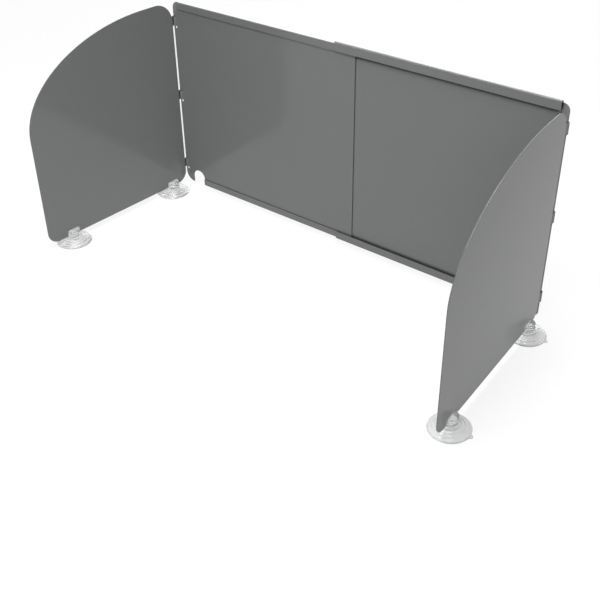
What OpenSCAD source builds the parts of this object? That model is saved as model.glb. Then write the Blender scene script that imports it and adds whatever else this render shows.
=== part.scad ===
// Extending stove windscreen in folded sheet metal. Two rear panels slide in each other, a wing swings at
// each end on tabs rolled round the panel's edge, and clear suction cups clip on to the wings as feet.

/* [Rear panels] */
// Height of the sliding inner panel
panel_h = 250; // [180:1:320]
// Width of the inner panel
inner_w = 282; // [220:1:340]
// Width of the outer panel, from the tip of its top rail to its hinge edge
outer_w = 280; // [260:1:340]
// How far the two panels overlap when drawn out
overlap = 28; // [16:1:60]
// Thickness of the sheet
sheet_t = 0.8; // [0.6:0.1:1.2]
// Height of the sheets' lower edge above the table
lift = 9.5; // [9:0.5:14]

/* [Rails and hems] */
// Height of the rail's front lip, measured outside
lip_h = 10; // [8:0.5:16]
// Outside bend radius of the rails
bend_r = 1.4; // [1.2:0.1:1.8]
// Distance from the outer panel's hinge edge to the rail's end
rail_end = 8; // [7:0.5:20]
// Step down from the top rail to the sheet beside its end
end_drop = 2.5; // [2:0.5:6]
// How much later the bottom rail and the sheet start than the top rail
rail_step = 6; // [5:0.5:12]
// Height of the inner panel's hems
hem_h = 9; // [6:0.5:14]
// Gap inside a closed hem
hem_gap = 0.2; // [0.1:0.1:0.4]
// Distance from the inner panel's hinge edge to the top hem
hem_start = 9; // [6:0.5:20]

/* [Hose notch] */
// Distance from the inner panel's hinge edge to the notch's middle
notch_x = 23.5; // [23:0.5:60]
// Width of the notch
notch_w = 20; // [10:0.5:24]
// Height of the notch
notch_h = 19; // [13:0.5:40]

/* [Panel corners] */
// Radius of the inner panel's upper hinge corner
inner_top_r = 8.5; // [2:0.5:9]
// Radius of the inner panel's lower hinge corner
inner_bottom_r = 13; // [4:0.5:15]
// Radius of the outer panel's upper hinge corner
outer_top_r = 8; // [3:0.5:12]
// Radius of the outer panel's lower hinge corner
outer_bottom_r = 5; // [3:0.5:12]

/* [Hinges] */
// Width of the strip of sheet that each tab is rolled round
strip_w = 2.4; // [2:0.1:3.2]
// Height of a rolled tab
tab_h = 12.5; // [8:0.5:20]
// Distance of the end hinges' middles from the panel's upper and lower edges
hinge_inset = 25.5; // [22:0.5:50]
// Angle through which a tab is rolled
curl_deg = 250; // [220:5:290]
// How far a tab's root runs into the wing
tab_root = 2.5; // [1:0.5:6]
// Sideways step in each tab, from the wing's sheet out to the roll
joggle = 1.1; // [0:0.1:1.4]

/* [Wings] */
// Depth of a wing
wing_d = 229; // [160:1:300]
// Gap between the inner panel's face and the left wing's back edge
left_gap = 2.7; // [1.5:0.1:5]
// Gap between the outer panel's face and the right wing's back edge
right_gap = 4.6; // [1.5:0.1:6]
// Height at which the straight front edge runs into the curve
shoulder_h = 142; // [80:1:170]
// Length of the straight stretch along the top
top_flat = 46; // [33:1:90]
// Radius of the corner at the top of the hinge edge
wing_top_r = 26; // [4:0.5:32]
// Radius of the corner at the foot of the hinge edge
wing_heel_r = 14; // [4:0.5:15]
// Radius of the corner at the foot of the front edge
wing_toe_r = 14.5; // [4:0.5:17]
// Angle that each wing stands open beyond square
splay = 2.8; // [0:0.1:20]

/* [Suction cups] */
// Diameter of the cup
cup_d = 44; // [36:1:48]
// Width of the flat rim that meets the table
rim_w = 2.5; // [1.5:0.1:4]
// Thickness of the rim's edge
rim_t = 1; // [0.6:0.1:1.5]
// Number of raised rings on the cup
rings = 3; // [2:1:5]
// Height of a raised ring
ring_h = 0.45; // [0.2:0.05:0.6]
// Thickness of the cup's wall
cup_wall = 1.3; // [0.8:0.1:1.6]
// Diameter of the collar on top of the cup
collar_d = 20; // [18:0.5:22]
// Height of the collar's straight side
collar_h = 1.4; // [1:0.1:2]
// Diameter of the neck under the head
neck_d = 11; // [8:0.5:13]
// Height of the neck
neck_h = 1; // [0.8:0.1:1.4]
// Diameter of the slotted head
head_d = 17; // [15:0.5:19]
// Thickness of the head below its slot
head_base = 1.5; // [1:0.1:2]
// How far the head reaches up the wing
head_grip = 7.5; // [5:0.5:12]
// Length of the pull tab beyond the rim
pull_l = 3; // [2:0.5:6]
// Width of the pull tab
pull_w = 5.5; // [3:0.5:8]
// Thickness of the pull tab
pull_t = 0.6; // [0.4:0.1:0.6]
// Distance from the left wing's back edge to its rear cup's middle
cup_rear_left = 25.5; // [25:0.5:60]
// Distance from the right wing's back edge to its rear cup's middle
cup_rear_right = 23; // [22.5:0.5:60]
// Distance from the left wing's front edge to its front cup's middle
cup_front_left = 35.5; // [26:0.5:60]
// Distance from the right wing's front edge to its front cup's middle
cup_front_right = 29; // [26:0.5:60]

/* [Clearances] */
// Gap between the two sliding sheets
slide_clear = 0.3; // [0.2:0.05:0.5]
// Gap between the hem and the rail's lip
lip_clear = 0.6; // [0.3:0.1:1]
// Gap under the lower hem, which rests in the bottom rail
rail_rest = 0.2; // [0.1:0.1:0.5]
// Gap between the upper hem and the top rail
rail_clear = 1.2; // [0.5:0.1:1.5]
// Gap between a rolled tab and the strip's corners
curl_clear = 0.5; // [0.1:0.05:0.8]
// Gap beside a rolled tab in its slot
slot_side = 1.2; // [0.4:0.1:2]
// Gap above a rolled tab in its slot
slot_rise = 0.3; // [0.2:0.1:1]
// Gap below a rolled tab in its slot
slot_drop = 2.6; // [0.5:0.1:4]

/* [Hidden] */
$fn = 96;
eps = 0.01;
size_step = 0.01;
curve_steps = 48;
round_steps = 6;
ring_steps = 8;

// Sideways places of the panels, from the middle of the drawn-out screen
width = inner_w + outer_w - overlap;
inner_left = -width / 2;
outer_right = width / 2;
outer_left = outer_right - outer_w;
sheet_left = outer_left + rail_step;
rail_right = outer_right - rail_end;

// Depth: the outer sheet's front face is at 0 and the front is negative
hem_w = 2 * sheet_t + hem_gap;
rail_w = slide_clear + hem_w + lip_clear + 2 * sheet_t;
inner_back = -slide_clear;

// Heights above the table
inner_top = lift + panel_h;
outer_bottom = lift - rail_rest - sheet_t;
outer_h = panel_h + rail_rest + rail_clear + 2 * sheet_t;
hinge_z = [lift + hinge_inset, lift + panel_h / 2, lift + panel_h - hinge_inset];

// The rolled tab turns about the middle of the strip. Its radius is a whole number of small steps,
// so that the tab's faces and the wing's lie in one plane
curl_min = norm([strip_w / 2, sheet_t / 2]) + curl_clear;
curl_in = ceil(curl_min / size_step) * size_step;
curl_out = curl_in + sheet_t;
wing_in = curl_in - joggle;
wing_out = curl_out - joggle;
slot_w = curl_out - strip_w / 2 + slot_side;
slot_h = tab_h + slot_drop + slot_rise;
left_start = left_gap + sheet_t / 2;
right_start = right_gap + sheet_t / 2;
left_axis = [inner_left + strip_w / 2, inner_back - sheet_t / 2, 0];
right_axis = [outer_right - strip_w / 2, sheet_t / 2, 0];

// Cup heights, from the table up to the slot's floor at the wing's lower edge
head_bottom = lift - head_base;
neck_bottom = head_bottom - neck_h;
collar_bottom = neck_bottom - collar_h;
head_round = 1;
bevel = 0.4;
cup_r = cup_d / 2;
collar_r = collar_d / 2;

// The origin is at the middle of the whole screen's box, on the table
left_front = left_axis[1] - (left_start + wing_d) * cos(splay);
right_front = right_axis[1] - (right_start + wing_d) * cos(splay);
front_y = min(left_front, right_front) + wing_in * sin(splay);
back_y = right_axis[1] + curl_out;
origin_y = (front_y + back_y) / 2;

grey = "#7c8082";
clear_pvc = [0.86, 0.89, 0.9, 0.55];

// Points of an elliptical quarter from straight right of the centre to straight above it
function quarter(centre, rx, ry, steps) =
    [for (i = [0:steps]) centre + [rx * cos(90 * i / steps), ry * sin(90 * i / steps)]];

// Waste outside a rounded corner at the origin, for a sheet that lies towards +x and +y
module corner_waste(r) {
    difference() {
        translate([-eps, -eps])
            square(r + eps);
        translate([r, r])
            circle(r);
    }
}

// Upright block with a rounded top, standing on the x axis
module round_top(w, h, r) {
    square([w, h - r]);
    translate([r, h - r])
        circle(r);
    translate([w - r, h - r])
        circle(r);
    if (w > 2 * r)
        translate([r, h - r - eps])
            square([w - 2 * r, r + eps]);
}

// Section of sheet folded over at the top: a back wall at the right, a bend and a front leaf at the left
module fold_section(w, h, r) {
    inner_r = r - sheet_t;
    difference() {
        round_top(w, h, r);
        translate([sheet_t, -eps])
            round_top(w - 2 * sheet_t, h - sheet_t + eps, inner_r);
    }
}

// Folded edge along x, with its back wall's rear face at y_back and its top at z_top
module fold(x0, x1, y_back, z_top, w, h, r) {
    translate([x0, y_back - w, z_top - h])
        rotate([90, 0, 90])
            linear_extrude(x1 - x0)
                fold_section(w, h, r);
}

// The same edge turned over, with its lowest face at z_low
module fold_below(x0, x1, y_back, z_low, w, h, r) {
    translate([0, 0, 2 * z_low])
        mirror([0, 0, 1])
            fold(x0, x1, y_back, z_low, w, h, r);
}

// Flat sheet upright along x, from an outline drawn in width and height
module upright(x, y_back, z) {
    translate([x, y_back, z])
        rotate([90, 0, 0])
            linear_extrude(sheet_t)
                children();
}

// Hinge slots along an edge at x = 0 of a sheet whose lower edge is z_low above the table
module hinge_slots(z_low) {
    for (z = hinge_z)
        translate([strip_w, z - tab_h / 2 - slot_drop - z_low])
            square([slot_w, slot_h]);
}

// Arch for the gas hose, open at the sheet's lower edge
module hose_notch() {
    translate([notch_x, notch_h - notch_w / 2])
        circle(notch_w / 2);
    translate([notch_x - notch_w / 2, -eps])
        square([notch_w, notch_h - notch_w / 2 + eps]);
}

module inner_outline() {
    hem_r = hem_w / 2;
    low_hem_start = notch_x + notch_w / 2;
    difference() {
        square([inner_w, panel_h]);
        translate([hem_start, panel_h - hem_r])
            square([inner_w, hem_w]);
        translate([low_hem_start, -hem_r])
            square([inner_w, hem_w]);
        corner_waste(inner_bottom_r);
        translate([0, panel_h])
            mirror([0, 1])
                corner_waste(inner_top_r);
        hinge_slots(lift);
        hose_notch();
    }
}

module inner_panel() {
    low_hem_left = inner_left + notch_x + notch_w / 2;
    inner_right = inner_left + inner_w;
    color(grey) {
        upright(inner_left, inner_back, lift)
            inner_outline();
        fold(inner_left + hem_start, inner_right, inner_back, inner_top, hem_w, hem_h, hem_w / 2);
        fold_below(low_hem_left, inner_right, inner_back, lift, hem_w, hem_h, hem_w / 2);
    }
}

module outer_outline() {
    sheet_w = outer_right - sheet_left;
    railed = sheet_w - rail_end;
    end_top = outer_h - end_drop;
    difference() {
        square([sheet_w, outer_h]);
        translate([-eps, outer_h - bend_r])
            square([railed + eps, bend_r + eps]);
        translate([-eps, -eps])
            square([railed + eps, bend_r + eps]);
        translate([railed, end_top])
            square([rail_end + eps, end_drop + eps]);
        translate([sheet_w, 0])
            mirror([1, 0])
                corner_waste(outer_bottom_r);
        translate([sheet_w, end_top])
            rotate(180)
                corner_waste(outer_top_r);
        translate([sheet_w, 0])
            mirror([1, 0])
                hinge_slots(outer_bottom);
    }
}

module outer_panel() {
    color(grey) {
        upright(sheet_left, sheet_t, outer_bottom)
            outer_outline();
        fold(outer_left, rail_right, sheet_t, outer_bottom + outer_h, rail_w, lip_h, bend_r);
        fold_below(sheet_left, rail_right, sheet_t, outer_bottom, rail_w, lip_h, bend_r);
    }
}

module wing_outline() {
    difference() {
        union() {
            square([wing_d, shoulder_h]);
            square([top_flat, panel_h]);
            polygon(concat(
                [[top_flat - eps, shoulder_h - eps], [wing_d, shoulder_h - eps]],
                quarter([top_flat, shoulder_h], wing_d - top_flat, panel_h - shoulder_h, curve_steps),
                [[top_flat - eps, panel_h]]
            ));
        }
        corner_waste(wing_heel_r);
        translate([wing_d, 0])
            mirror([1, 0])
                corner_waste(wing_toe_r);
        translate([0, panel_h])
            mirror([0, 1])
                corner_waste(wing_top_r);
    }
}

// Tab rolled round the hinge axis, which is at the origin, from a wing that starts in front of it
module rolled_tab(z, start) {
    step_end = sheet_t / 2 - start;
    root = -start - tab_root;
    translate([0, 0, z - tab_h / 2]) {
        linear_extrude(tab_h)
            polygon([
                [curl_in, 0], [curl_out, 0], [curl_out, -sheet_t], [wing_out, step_end],
                [wing_out, root], [wing_in, root], [wing_in, step_end], [curl_in, -sheet_t]
            ]);
        rotate_extrude(angle = curl_deg)
            translate([curl_in, 0])
                square([sheet_t, tab_h]);
    }
}

// Right-hand wing with its hinge axis at the origin, standing square to the panels
module wing(start) {
    translate([wing_out, -start, lift])
        rotate([90, 0, -90])
            linear_extrude(sheet_t)
                wing_outline();
    for (z = hinge_z)
        rolled_tab(z, start);
}

// Outer slope of the cup from the rim in to the collar, with its raised rings
function slope(i) = i / (rings * ring_steps);
function cup_slope() =
    [for (i = [0:rings * ring_steps])
        let (
            rise = sin(90 * slope(i)),
            wave = pow(sin(180 * i / ring_steps), 2)
        )
        [
            cup_r + (collar_r - cup_r) * slope(i),
            rim_t + (collar_bottom - rim_t) * rise + ring_h * wave
        ]];

// Half section of a cup from the table up to the top of its head
module cup_section() {
    neck_r = neck_d / 2;
    head_r = head_d / 2;
    head_top = lift + head_grip;
    round_centre = [head_r - head_round, head_top - head_round];
    polygon(concat(
        [[0, collar_bottom - cup_wall], [collar_r - cup_wall, collar_bottom - cup_wall]],
        [[cup_r - rim_w, 0], [cup_r, 0]],
        cup_slope(),
        [[collar_r, neck_bottom - bevel], [collar_r - bevel, neck_bottom], [neck_r, neck_bottom]],
        [[neck_r, head_bottom], [head_r - bevel, head_bottom], [head_r, head_bottom + bevel]],
        quarter(round_centre, head_round, head_round, round_steps),
        [[0, head_top]]
    ));
}

// Tongue on the rim for peeling the cup off the table, towards +x
module pull_tab() {
    tip_r = pull_w / 2;
    tip_x = cup_r + pull_l - tip_r;
    translate([0, 0, rim_t - pull_t])
        linear_extrude(pull_t) {
            translate([cup_r - rim_w, -tip_r])
                square([tip_x - cup_r + rim_w, pull_w]);
            translate([tip_x, 0])
                circle(tip_r);
        }
}

// Suction cup with the slot in its head along y
module cup() {
    color(clear_pvc) {
        difference() {
            rotate_extrude()
                cup_section();
            translate([-sheet_t / 2, -head_d, lift])
                cube([sheet_t, 2 * head_d, head_grip + eps]);
        }
        pull_tab();
    }
}

// Places for what belongs to the wings, about their hinge axes
module on_right() {
    translate(right_axis)
        rotate(splay)
            children();
}

module on_left() {
    translate(left_axis)
        mirror([1, 0, 0])
            rotate(splay)
                children();
}

// A cup at a distance in front of the hinge axis
module cup_at(depth) {
    translate([(wing_in + wing_out) / 2, -depth, 0])
        cup();
}

module left_wing() {
    color(grey)
        on_left()
            wing(left_start);
}

module right_wing() {
    color(grey)
        on_right()
            wing(right_start);
}

module left_front_cup() {
    on_left()
        cup_at(left_start + wing_d - cup_front_left);
}

module left_rear_cup() {
    on_left()
        cup_at(left_start + cup_rear_left);
}

module right_front_cup() {
    on_right()
        cup_at(right_start + wing_d - cup_front_right);
}

module right_rear_cup() {
    on_right()
        cup_at(right_start + cup_rear_right);
}

// Moves a piece from the rear wall's own lines to the screen's origin
module placed() {
    translate([0, -origin_y, 0])
        children();
}

placed() inner_panel();
placed() outer_panel();
placed() left_wing();
placed() right_wing();
placed() left_front_cup();
placed() left_rear_cup();
placed() right_front_cup();
placed() right_rear_cup();
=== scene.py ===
"""Looks of an extending stove windscreen.

Satin powder-coated sheets stand on clear suction cups, in a white studio.
"""

import math

import bmesh
import bpy
from mathutils import Matrix, Vector


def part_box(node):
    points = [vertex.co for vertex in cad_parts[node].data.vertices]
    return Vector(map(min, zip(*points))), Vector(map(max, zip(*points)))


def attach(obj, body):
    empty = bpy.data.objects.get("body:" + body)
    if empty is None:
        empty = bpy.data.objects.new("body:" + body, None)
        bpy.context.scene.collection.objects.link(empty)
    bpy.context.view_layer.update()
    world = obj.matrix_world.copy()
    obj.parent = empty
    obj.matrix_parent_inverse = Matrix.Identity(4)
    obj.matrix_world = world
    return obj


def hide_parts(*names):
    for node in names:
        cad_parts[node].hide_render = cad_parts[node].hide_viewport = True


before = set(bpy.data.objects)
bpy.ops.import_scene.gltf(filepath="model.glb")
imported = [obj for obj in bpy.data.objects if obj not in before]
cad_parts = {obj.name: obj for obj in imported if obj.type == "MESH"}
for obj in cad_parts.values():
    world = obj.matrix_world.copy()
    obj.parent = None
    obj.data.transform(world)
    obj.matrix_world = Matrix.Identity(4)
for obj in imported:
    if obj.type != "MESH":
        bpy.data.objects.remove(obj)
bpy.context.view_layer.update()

MM = 0.001

# Camera, fitted to the photograph's 600 x 600 frame
FRAME_PX = 600
FOCAL_PX = 917.7
CENTRE_PX = (315.4, 263.8)
CAMERA_AT = Vector((0.5730, -0.6798, 0.6120))
CAMERA_AZIMUTH = math.radians(37.75)
CAMERA_ELEVATION = math.radians(33.18)
CAMERA_ROLL = math.radians(-0.22)
SENSOR_MM = 36

# Noise: scales are in features per metre, and a span is the range of noise that is spread out
NOISE_DETAIL = 2
NOISE_ROUGHNESS = 0.5
NARROW_SPAN = (0.3, 0.7)
WIDE_SPAN = (0.2, 0.8)

# Powder coat of the sheets
SHEET_GREY = (0.163, 0.168, 0.166)
SHEET_GREY_DARK = (0.151, 0.156, 0.154)
SHEET_IOR = 1.34
SHEET_ROUGHNESS = 0.12
SHEET_ROUGHNESS_PLAY = 0.02
GRAIN_SCALE = 2600
CLOUD_SCALE = 9
PEEL_SCALE = 700
PEEL_STRENGTH = 0.03
PEEL_DEPTH = 0.05 * MM

# Softened edges of the sheets, drawn in a darker grey; the turn is the cosine at which that grey starts
# and is full
EDGE_GREY = (0.094, 0.098, 0.097)
EDGE_RADIUS = 0.35 * MM
EDGE_SAMPLES = 6
EDGE_TURN = (0.98, 0.8)

# Painted shade in hollows and a painted shadow under ledges: the painted grey, the reach, the upward
# tilt of the gaze, its samples, and the openness where that grey starts and where it is full
# Painted shade in creases, seams, hems and curls, and next to parts that stand close
PAINTED_CREASE_SHADE = dict(grey=(0.057, 0.060, 0.059), reach=7 * MM, tilt=0, samples=8, start=0.88, full=0.35)
# Painted shadow below the rails' lips and other ledges, as if lit from above
PAINTED_LEDGE_SHADOW = dict(grey=(0.020, 0.020, 0.021), reach=15 * MM, tilt=3, samples=32, start=0.36, full=0.26)

# Clear PVC of the cups
PVC_TINTS = ((0.66, 0.665, 0.67), (0.74, 0.745, 0.75))
PVC_TINT_SCALE = 180
PVC_TRANSMISSION = 0.78
PVC_IOR = 1.5
PVC_ROUGHNESS = (0.16, 0.22)
PVC_ROUGHNESS_SCALE = 400
PVC_SKIN_SCALE = 260
PVC_SKIN_STRENGTH = 0.05
PVC_SKIN_DEPTH = 0.1 * MM
PVC_PASSES = (0.97, 0.97, 0.97)

# Share of a cup's mirror image in the sheets that shows what lies behind the cup,
# and a limit below the first transmission, which is depth 1
MIRROR_SHARE = 0.85
BEFORE_FIRST = 0.5

# Suction cups: heights above the table and radii, to match the solids
CUP_RIM = 1.0 * MM
CUP_RIM_W = 2.5 * MM
CUP_WALL = 1.3 * MM
CUP_RINGS = 3
CUP_RING_H = 0.7 * MM
COLLAR_R = 10 * MM
COLLAR_LOW = 5.6 * MM
NECK_R = 5.5 * MM
NECK_LOW = 7.0 * MM
HEAD_R = 8.5 * MM
HEAD_WAIST_R = 6.6 * MM
HEAD_LOW = 8.0 * MM
HEAD_LEDGES = (11.0 * MM, 14.0 * MM)
HEAD_TOP = 17 * MM
SLOT_FLOOR = 9.5 * MM
SLOT_W = 0.9 * MM
TAB_L = 3 * MM
TAB_W = 5.5 * MM
TAB_T = 0.6 * MM

# Finer shape of the cups: roundings, the hollow's lift at the rim, the grooves' heights above a ledge,
# the tab's reach into the rim and the cutter's reach above the head
RIM_ROUND = 0.3 * MM
COLLAR_ROUND = 0.5 * MM
LIP_ROUND = 0.6 * MM
HEAD_ROUND = 1.2 * MM
HOLLOW_LIFT = 0.02 * MM
GROOVE_FLOOR = 0.1 * MM
GROOVE_H = 1.8 * MM
GROOVE_LIP_TURN = 60
TAB_ROOT = 1.5 * MM
SLOT_SPARE = 2 * MM

# Fineness of the cups' meshes
CUP_STEPS = 96
RING_STEPS = 12
MERGE = 0.005 * MM
SHARP_ANGLE = math.radians(35)

# Studio: the dome's strength as light, and the share of plain white in the floor where it is seen
# directly, which grows to all of it between two distances from the middle, in metres
DOME = 0.12
FLOOR_HALF = 8
FLOOR_COLOUR = (0.9, 0.9, 0.9, 1)
FLOOR_ROUGHNESS = 0.9
FLOOR_WHITE = 0.82
FADE_FROM = 0.6
FADE_TO = 2.2
SEEN_DIRECTLY = ("Is Camera Ray", "Is Glossy Ray", "Is Transmission Ray")

# Softboxes: place, side and power of each, and the point that they all face
SOFTBOX_AIM = Vector((0, 0, 0.12))
SOFTBOXES = {
    "key": ((0.25, -0.45, 1.15), 0.5, 7),
    "second": ((-0.1, -0.6, 1.3), 0.5, 4.6),
    "top": ((0, 0.1, 2.2), 1, 30.5),
    "right": ((1.6, -1.6, 1.2), 1.2, 5.9),
    "back": ((-1.2, 1.6, 1.8), 1.6, 12),
    "low": ((-0.5, 2.2, 0.7), 1.2, 11),
}


def new_material(name):
    """A node material with its node tree and its Principled shader."""
    material = bpy.data.materials.new(name)
    material.use_nodes = True
    return material, material.node_tree, material.node_tree.nodes["Principled BSDF"]


def feed(tree, socket, value):
    """Gives a node's input a constant or another node's output."""
    if isinstance(value, bpy.types.NodeSocket):
        tree.links.new(value, socket)
    else:
        socket.default_value = value


def calc(tree, operation, first, second):
    """The result of a Math node; each term is a socket or a number."""
    node = tree.nodes.new("ShaderNodeMath")
    node.operation = operation
    feed(tree, node.inputs[0], first)
    feed(tree, node.inputs[1], second)
    return node.outputs["Value"]


def vector_calc(tree, operation, *terms):
    """The outputs of a Vector Math node, Vector and Value; each term is a socket or a vector."""
    node = tree.nodes.new("ShaderNodeVectorMath")
    node.operation = operation
    for socket, term in zip(node.inputs, terms):
        feed(tree, socket, term)
    return node.outputs


def spread(tree, value, low, high, out_low=0, out_high=1):
    """A value mapped from one range to another and held inside it."""
    node = tree.nodes.new("ShaderNodeMapRange")
    node.inputs["From Min"].default_value = low
    node.inputs["From Max"].default_value = high
    node.inputs["To Min"].default_value = out_low
    node.inputs["To Max"].default_value = out_high
    tree.links.new(value, node.inputs["Value"])
    return node.outputs["Result"]


def noise(tree, scale):
    """Noise in the part's own coordinates, in metres."""
    coords = tree.nodes.new("ShaderNodeTexCoord")
    node = tree.nodes.new("ShaderNodeTexNoise")
    node.inputs["Scale"].default_value = scale
    node.inputs["Detail"].default_value = NOISE_DETAIL
    node.inputs["Roughness"].default_value = NOISE_ROUGHNESS
    tree.links.new(coords.outputs["Object"], node.inputs["Vector"])
    return node.outputs["Fac"]


def uneven(tree, scale, span, out_low=0, out_high=1):
    """A value that wanders over a range as noise does."""
    return spread(tree, noise(tree, scale), *span, out_low, out_high)


def bump(tree, scale, strength, depth):
    """A Bump node whose height is noise."""
    node = tree.nodes.new("ShaderNodeBump")
    node.inputs["Strength"].default_value = strength
    node.inputs["Distance"].default_value = depth
    tree.links.new(noise(tree, scale), node.inputs["Height"])
    return node


def mix_colour(tree, factor, first, second):
    """Two colours mixed by a factor; each is a colour or a socket."""
    node = tree.nodes.new("ShaderNodeMix")
    node.data_type = "RGBA"
    tree.links.new(factor, node.inputs["Factor"])
    for socket, colour in ((node.inputs["A"], first), (node.inputs["B"], second)):
        feed(tree, socket, (*colour, 1) if isinstance(colour, tuple) else colour)
    return node.outputs["Result"]


def mix_shaders(tree, factor, first, second):
    """Makes the surface a mix of two shaders."""
    either = tree.nodes.new("ShaderNodeMixShader")
    tree.links.new(factor, either.inputs["Fac"])
    tree.links.new(first, either.inputs[1])
    tree.links.new(second, either.inputs[2])
    tree.links.new(either.outputs["Shader"], tree.nodes["Material Output"].inputs["Surface"])


def any_ray(tree, *kinds):
    """1 for the kinds of ray that are named, and 0 for others."""
    path = tree.nodes.new("ShaderNodeLightPath")
    total = path.outputs[kinds[0]]
    for kind in kinds[1:]:
        total = calc(tree, "MAXIMUM", total, path.outputs[kind])
    return total


def paint_shade_in_hollows(tree, skin, alone, grey, reach, tilt, samples, start, full):
    """A colour that turns to a grey in hollows, as painted shade.

    Alone leaves other pieces out, and a tilt makes ledges above count for more, which paints a shadow
    under them.
    """
    normal = tree.nodes.new("ShaderNodeNewGeometry").outputs["Normal"]
    upward = vector_calc(tree, "ADD", normal, (0, 0, tilt))["Vector"]
    gaze = vector_calc(tree, "NORMALIZE", upward)["Vector"]
    node = tree.nodes.new("ShaderNodeAmbientOcclusion")
    node.samples = samples
    node.only_local = alone
    node.inputs["Distance"].default_value = reach
    tree.links.new(gaze, node.inputs["Normal"])
    # Painted shade: the colour goes towards the grey where the surroundings close in
    return mix_colour(tree, spread(tree, node.outputs["AO"], start, full), skin, grey)


def powder_coat(name, hollows, alone=False):
    """Satin grey powder coat.

    It has a fine grain, an orange-peel skin, a darker grey on softened edges, and painted shade in the
    hollows that it is given.
    """
    material, tree, shader = new_material(name)
    shader.inputs["IOR"].default_value = SHEET_IOR

    edge = tree.nodes.new("ShaderNodeBevel")
    edge.samples = EDGE_SAMPLES
    edge.inputs["Radius"].default_value = EDGE_RADIUS
    flat = tree.nodes.new("ShaderNodeNewGeometry").outputs["True Normal"]
    turn = vector_calc(tree, "DOT_PRODUCT", edge.outputs["Normal"], flat)["Value"]

    skin = mix_colour(tree, uneven(tree, GRAIN_SCALE, NARROW_SPAN), SHEET_GREY_DARK, SHEET_GREY)
    skin = mix_colour(tree, spread(tree, turn, *EDGE_TURN), skin, EDGE_GREY)
    # Painted shade in hollows, and a painted shadow under ledges where the gaze is tilted up
    for hollow in hollows:
        skin = paint_shade_in_hollows(tree, skin, alone, **hollow)
    tree.links.new(skin, shader.inputs["Base Color"])

    cloud = uneven(tree, CLOUD_SCALE, WIDE_SPAN,
                   SHEET_ROUGHNESS - SHEET_ROUGHNESS_PLAY, SHEET_ROUGHNESS + SHEET_ROUGHNESS_PLAY)
    tree.links.new(cloud, shader.inputs["Roughness"])

    peel = bump(tree, PEEL_SCALE, PEEL_STRENGTH, PEEL_DEPTH)
    tree.links.new(edge.outputs["Normal"], peel.inputs["Normal"])
    tree.links.new(peel.outputs["Normal"], shader.inputs["Normal"])
    return material


def clear_pvc():
    """Clear soft PVC, faintly milky, with an uneven moulded skin; it lets light through to the floor."""
    material, tree, shader = new_material("clear_pvc")
    shader.inputs["Transmission Weight"].default_value = PVC_TRANSMISSION
    shader.inputs["IOR"].default_value = PVC_IOR
    tint = mix_colour(tree, uneven(tree, PVC_TINT_SCALE, NARROW_SPAN), *PVC_TINTS)
    tree.links.new(tint, shader.inputs["Base Color"])
    rough = uneven(tree, PVC_ROUGHNESS_SCALE, NARROW_SPAN, *PVC_ROUGHNESS)
    tree.links.new(rough, shader.inputs["Roughness"])
    skin = bump(tree, PVC_SKIN_SCALE, PVC_SKIN_STRENGTH, PVC_SKIN_DEPTH)
    tree.links.new(skin.outputs["Normal"], shader.inputs["Normal"])

    through = tree.nodes.new("ShaderNodeBsdfTransparent")
    through.inputs["Color"].default_value = (*PVC_PASSES, 1)
    path = tree.nodes.new("ShaderNodeLightPath")
    outside = calc(tree, "LESS_THAN", path.outputs["Transmission Depth"], BEFORE_FIRST)
    mirrored = calc(tree, "MULTIPLY", path.outputs["Is Glossy Ray"], outside)
    mirrored = calc(tree, "MULTIPLY", mirrored, MIRROR_SHARE)
    passing = calc(tree, "MAXIMUM", any_ray(tree, "Is Shadow Ray", "Is Diffuse Ray"), mirrored)
    mix_shaders(tree, passing, shader.outputs["BSDF"], through.outputs["BSDF"])
    return material


def arc(centre, radius, start, end, steps):
    """Points along an arc; angles in degrees, from the first axis towards the second."""
    turns = [math.radians(start + (end - start) * i / steps) for i in range(steps + 1)]
    return [(centre[0] + radius * math.cos(t), centre[1] + radius * math.sin(t)) for t in turns]


def lower_edge(radius, low, rounding, steps):
    """Rounded lower edge of a disc, in half section."""
    return arc((radius - rounding, low + rounding), rounding, -90, 0, steps)


def upper_edge(radius, top, rounding, steps):
    """Rounded upper edge of a disc, in half section."""
    return arc((radius - rounding, top - rounding), rounding, 0, 90, steps)


def cup_slope(cup_r):
    """Half section of the disc's ringed upper face, from the rim up to the collar."""
    slope = []
    steps = CUP_RINGS * RING_STEPS
    for i in range(steps + 1):
        share = i / steps
        rise = math.sin(math.pi / 2 * share)
        wave = abs(math.sin(math.pi * i / RING_STEPS))
        slope.append((cup_r + (COLLAR_R - cup_r) * share,
                      CUP_RIM + (COLLAR_LOW - CUP_RIM) * rise + CUP_RING_H * wave))
    return slope


def head_grooves():
    """Half section of the head's grooves, each between two rounded lips."""
    lip_x = HEAD_R - LIP_ROUND
    grooves = []
    for ledge in HEAD_LEDGES:
        grooves += arc((lip_x, ledge - LIP_ROUND), LIP_ROUND, 0, GROOVE_LIP_TURN, steps=4)
        grooves += [(HEAD_WAIST_R, ledge + GROOVE_FLOOR)]
        grooves += arc((lip_x, ledge + GROOVE_H), LIP_ROUND, -GROOVE_LIP_TURN, 0, steps=4)
    return grooves


def cup_section(cup_r):
    """Half section of a cup, from its axis inside, round the rim and up to its axis on the head."""
    inside_z = COLLAR_LOW - CUP_WALL
    return (
        [(0, inside_z), (COLLAR_R - CUP_WALL, inside_z), (cup_r - CUP_RIM_W, HOLLOW_LIFT)]
        + lower_edge(cup_r, 0, RIM_ROUND, steps=4)
        + cup_slope(cup_r)
        + upper_edge(COLLAR_R, NECK_LOW, COLLAR_ROUND, steps=5)
        + [(NECK_R, NECK_LOW), (NECK_R, HEAD_LOW)]
        + lower_edge(HEAD_R, HEAD_LOW, LIP_ROUND, steps=5)
        + head_grooves()
        + upper_edge(HEAD_R, HEAD_TOP, HEAD_ROUND, steps=7)
        + [(0, HEAD_TOP)]
    )


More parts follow.
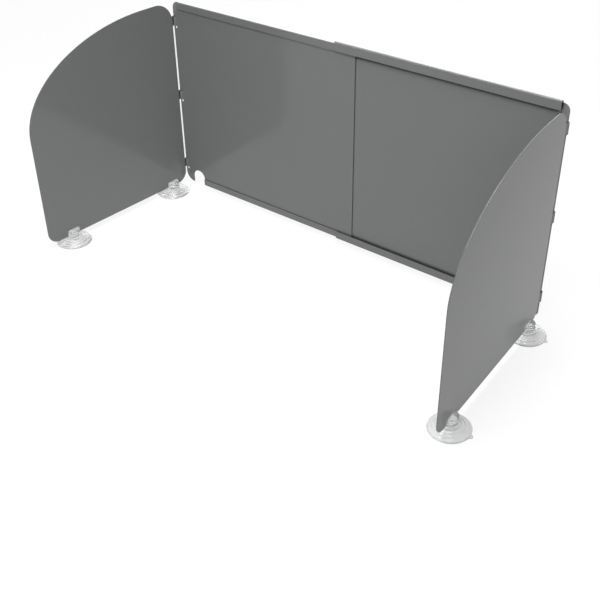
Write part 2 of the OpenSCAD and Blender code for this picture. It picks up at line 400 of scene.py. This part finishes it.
def spun(section):
    """A closed solid of revolution about Z."""
    mesh = bmesh.new()
    verts = [mesh.verts.new((r, 0, z)) for r, z in section]
    edges = [mesh.edges.new(pair) for pair in zip(verts, verts[1:])]
    bmesh.ops.spin(mesh, geom=verts + edges, cent=(0, 0, 0), axis=(0, 0, 1),
                   angle=2 * math.pi, steps=CUP_STEPS)
    bmesh.ops.remove_doubles(mesh, verts=mesh.verts, dist=MERGE)
    bmesh.ops.recalc_face_normals(mesh, faces=mesh.faces)
    return mesh


def as_object(name, mesh):
    """A mesh as an object in the scene."""
    data = bpy.data.meshes.new(name)
    mesh.to_mesh(data)
    mesh.free()
    made = bpy.data.objects.new(name, data)
    bpy.context.scene.collection.objects.link(made)
    return made


def tongue(cup_r):
    """Pull tab on the rim, a flat strip with a round end towards +X."""
    tip_r = TAB_W / 2
    tip_x = cup_r + TAB_L - tip_r
    root_x = cup_r - TAB_ROOT
    outline = [(root_x, -tip_r)] + arc((tip_x, 0), tip_r, -90, 90, steps=16) + [(root_x, tip_r)]
    mesh = bmesh.new()
    face = mesh.faces.new([mesh.verts.new((x, y, CUP_RIM - TAB_T)) for x, y in outline])
    top = bmesh.ops.extrude_face_region(mesh, geom=[face])
    bmesh.ops.translate(mesh, vec=(0, 0, TAB_T),
                        verts=[v for v in top["geom"] if isinstance(v, bmesh.types.BMVert)])
    bmesh.ops.recalc_face_normals(mesh, faces=mesh.faces)
    return as_object("tongue", mesh)


def slot_cutter():
    """Block that cuts the head's slot along Y, twice as long as the head is wide."""
    mesh = bmesh.new()
    bmesh.ops.create_cube(mesh, size=1)
    height = HEAD_TOP - SLOT_FLOOR + SLOT_SPARE
    bmesh.ops.scale(mesh, vec=(SLOT_W, 4 * HEAD_R, height), verts=mesh.verts)
    bmesh.ops.translate(mesh, vec=(0, 0, SLOT_FLOOR + height / 2), verts=mesh.verts)
    return as_object("slot", mesh)


def combine(target, tool, operation):
    """Applies a boolean to target and removes the tool."""
    step = target.modifiers.new("combine", "BOOLEAN")
    step.object = tool
    step.operation = operation
    step.solver = "EXACT"
    apply_modifiers(target)
    bpy.data.objects.remove(tool)


def apply_modifiers(target):
    """Puts the modified mesh in place of the object's own."""
    bpy.context.view_layer.update()
    graph = bpy.context.evaluated_depsgraph_get()
    target.data = bpy.data.meshes.new_from_object(target.evaluated_get(graph))
    target.modifiers.clear()


def cup_place(node, side):
    """Centre and radius of a cup; its pull tab points outwards, so the other side gives the centre."""
    low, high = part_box(node)
    radius = (high.y - low.y) / 2
    x = low.x + radius if side > 0 else high.x - radius
    return Vector((x, (low.y + high.y) / 2, 0)), radius


def make_cups(side, wing, body, finish):
    """The two suction cups of one wing, with their slots along the line between them.

    Side is the sign of the wing's X: -1 is left and 1 is right.
    """
    places = {end: cup_place(f"{wing}_{end}_cup", side) for end in ("front", "rear")}
    along = places["rear"][0] - places["front"][0]
    turn = math.atan2(along.y, along.x) - math.pi / 2
    if side < 0:
        turn += math.pi
    for end, (centre, radius) in places.items():
        cup = as_object(f"{wing}_{end}_suction_cup", spun(cup_section(radius)))
        combine(cup, tongue(radius), "UNION")
        combine(cup, slot_cutter(), "DIFFERENCE")
        cup.data.transform(Matrix.Translation(centre) @ Matrix.Rotation(turn, 4, "Z"))
        cup.data.materials.clear()
        cup.data.materials.append(finish)
        for face in cup.data.polygons:
            face.use_smooth = True
        cup.data.set_sharp_from_angle(angle=SHARP_ANGLE)
        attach(cup, body)
        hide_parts(f"{wing}_{end}_cup")


def dress_sheets(nodes, finish):
    """The folded sheets keep their solids and get the powder coat."""
    for node in nodes:
        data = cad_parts[node].data
        data.materials.clear()
        data.materials.append(finish)


def make_camera():
    """Camera at the photograph's viewing angle, with its picture centre."""
    forward = Vector((-math.sin(CAMERA_AZIMUTH) * math.cos(CAMERA_ELEVATION),
                      math.cos(CAMERA_AZIMUTH) * math.cos(CAMERA_ELEVATION),
                      -math.sin(CAMERA_ELEVATION)))
    level = Vector((math.cos(CAMERA_AZIMUTH), math.sin(CAMERA_AZIMUTH), 0))
    upright = level.cross(forward)
    right = level * math.cos(CAMERA_ROLL) + upright * math.sin(CAMERA_ROLL)
    up = upright * math.cos(CAMERA_ROLL) - level * math.sin(CAMERA_ROLL)
    data = bpy.data.cameras.new("camera")
    data.sensor_width = SENSOR_MM
    data.lens = FOCAL_PX * SENSOR_MM / FRAME_PX
    data.shift_x = (FRAME_PX / 2 - CENTRE_PX[0]) / FRAME_PX
    data.shift_y = (CENTRE_PX[1] - FRAME_PX / 2) / FRAME_PX
    camera = bpy.data.objects.new("camera", data)
    turned = Matrix((right, up, -forward)).transposed()
    camera.matrix_world = Matrix.Translation(CAMERA_AT) @ turned.to_4x4()
    bpy.context.scene.collection.objects.link(camera)
    bpy.context.scene.camera = camera


def make_floor():
    """Pale plain floor that keeps the shadow.

    Where it is seen directly, it is mostly plain white, and all white far away.
    """
    mesh = bmesh.new()
    bmesh.ops.create_grid(mesh, x_segments=1, y_segments=1, size=FLOOR_HALF)
    floor = as_object("floor", mesh)
    material, tree, shader = new_material("floor")
    shader.inputs["Base Color"].default_value = FLOOR_COLOUR
    shader.inputs["Roughness"].default_value = FLOOR_ROUGHNESS
    shader.inputs["Specular IOR Level"].default_value = 0
    white = tree.nodes.new("ShaderNodeEmission")
    coords = tree.nodes.new("ShaderNodeTexCoord")
    away = vector_calc(tree, "LENGTH", coords.outputs["Object"])["Value"]
    share = spread(tree, away, FADE_FROM, FADE_TO, FLOOR_WHITE, 1)
    share = calc(tree, "MULTIPLY", any_ray(tree, *SEEN_DIRECTLY), share)
    mix_shaders(tree, share, shader.outputs["BSDF"], white.outputs["Emission"])
    floor.data.materials.append(material)


def make_world():
    """Soft even dome, plain white where it is seen directly."""
    world = bpy.data.worlds.new("studio")
    world.use_nodes = True
    tree = world.node_tree
    light = tree.nodes["Background"]
    light.inputs["Color"].default_value = (1, 1, 1, 1)
    strength = spread(tree, any_ray(tree, *SEEN_DIRECTLY), 0, 1, DOME, 1)
    tree.links.new(strength, light.inputs["Strength"])
    bpy.context.scene.world = world


def softbox(name, place, side, power):
    """Square area lamp that faces the middle of the screen."""
    data = bpy.data.lights.new(name, "AREA")
    data.size = side
    data.energy = power
    lamp = bpy.data.objects.new(name, data)
    facing = (SOFTBOX_AIM - Vector(place)).to_track_quat("-Z", "Y")
    lamp.visible_camera = False
    lamp.matrix_world = Matrix.Translation(place) @ facing.to_matrix().to_4x4()
    bpy.context.scene.collection.objects.link(lamp)


make_camera()
pvc = clear_pvc()
# All sheets get painted shade in their creases; the outer panel also gets a painted shadow under its
# rails' lips
dress_sheets(("outer_panel",), powder_coat("powder_coat_rails", (PAINTED_CREASE_SHADE, PAINTED_LEDGE_SHADOW)))
dress_sheets(("inner_panel",), powder_coat("powder_coat_hems", (PAINTED_CREASE_SHADE,)))
dress_sheets(("left_wing", "right_wing"), powder_coat("powder_coat", (PAINTED_CREASE_SHADE,), alone=True))
make_cups(-1, "left", "wing_left", pvc)
make_cups(1, "right", "wing_right", pvc)
make_floor()
make_world()
for name, (place, side, power) in SOFTBOXES.items():
    softbox(name, place, side, power)
bpy.context.scene.view_settings.view_transform = "Standard"
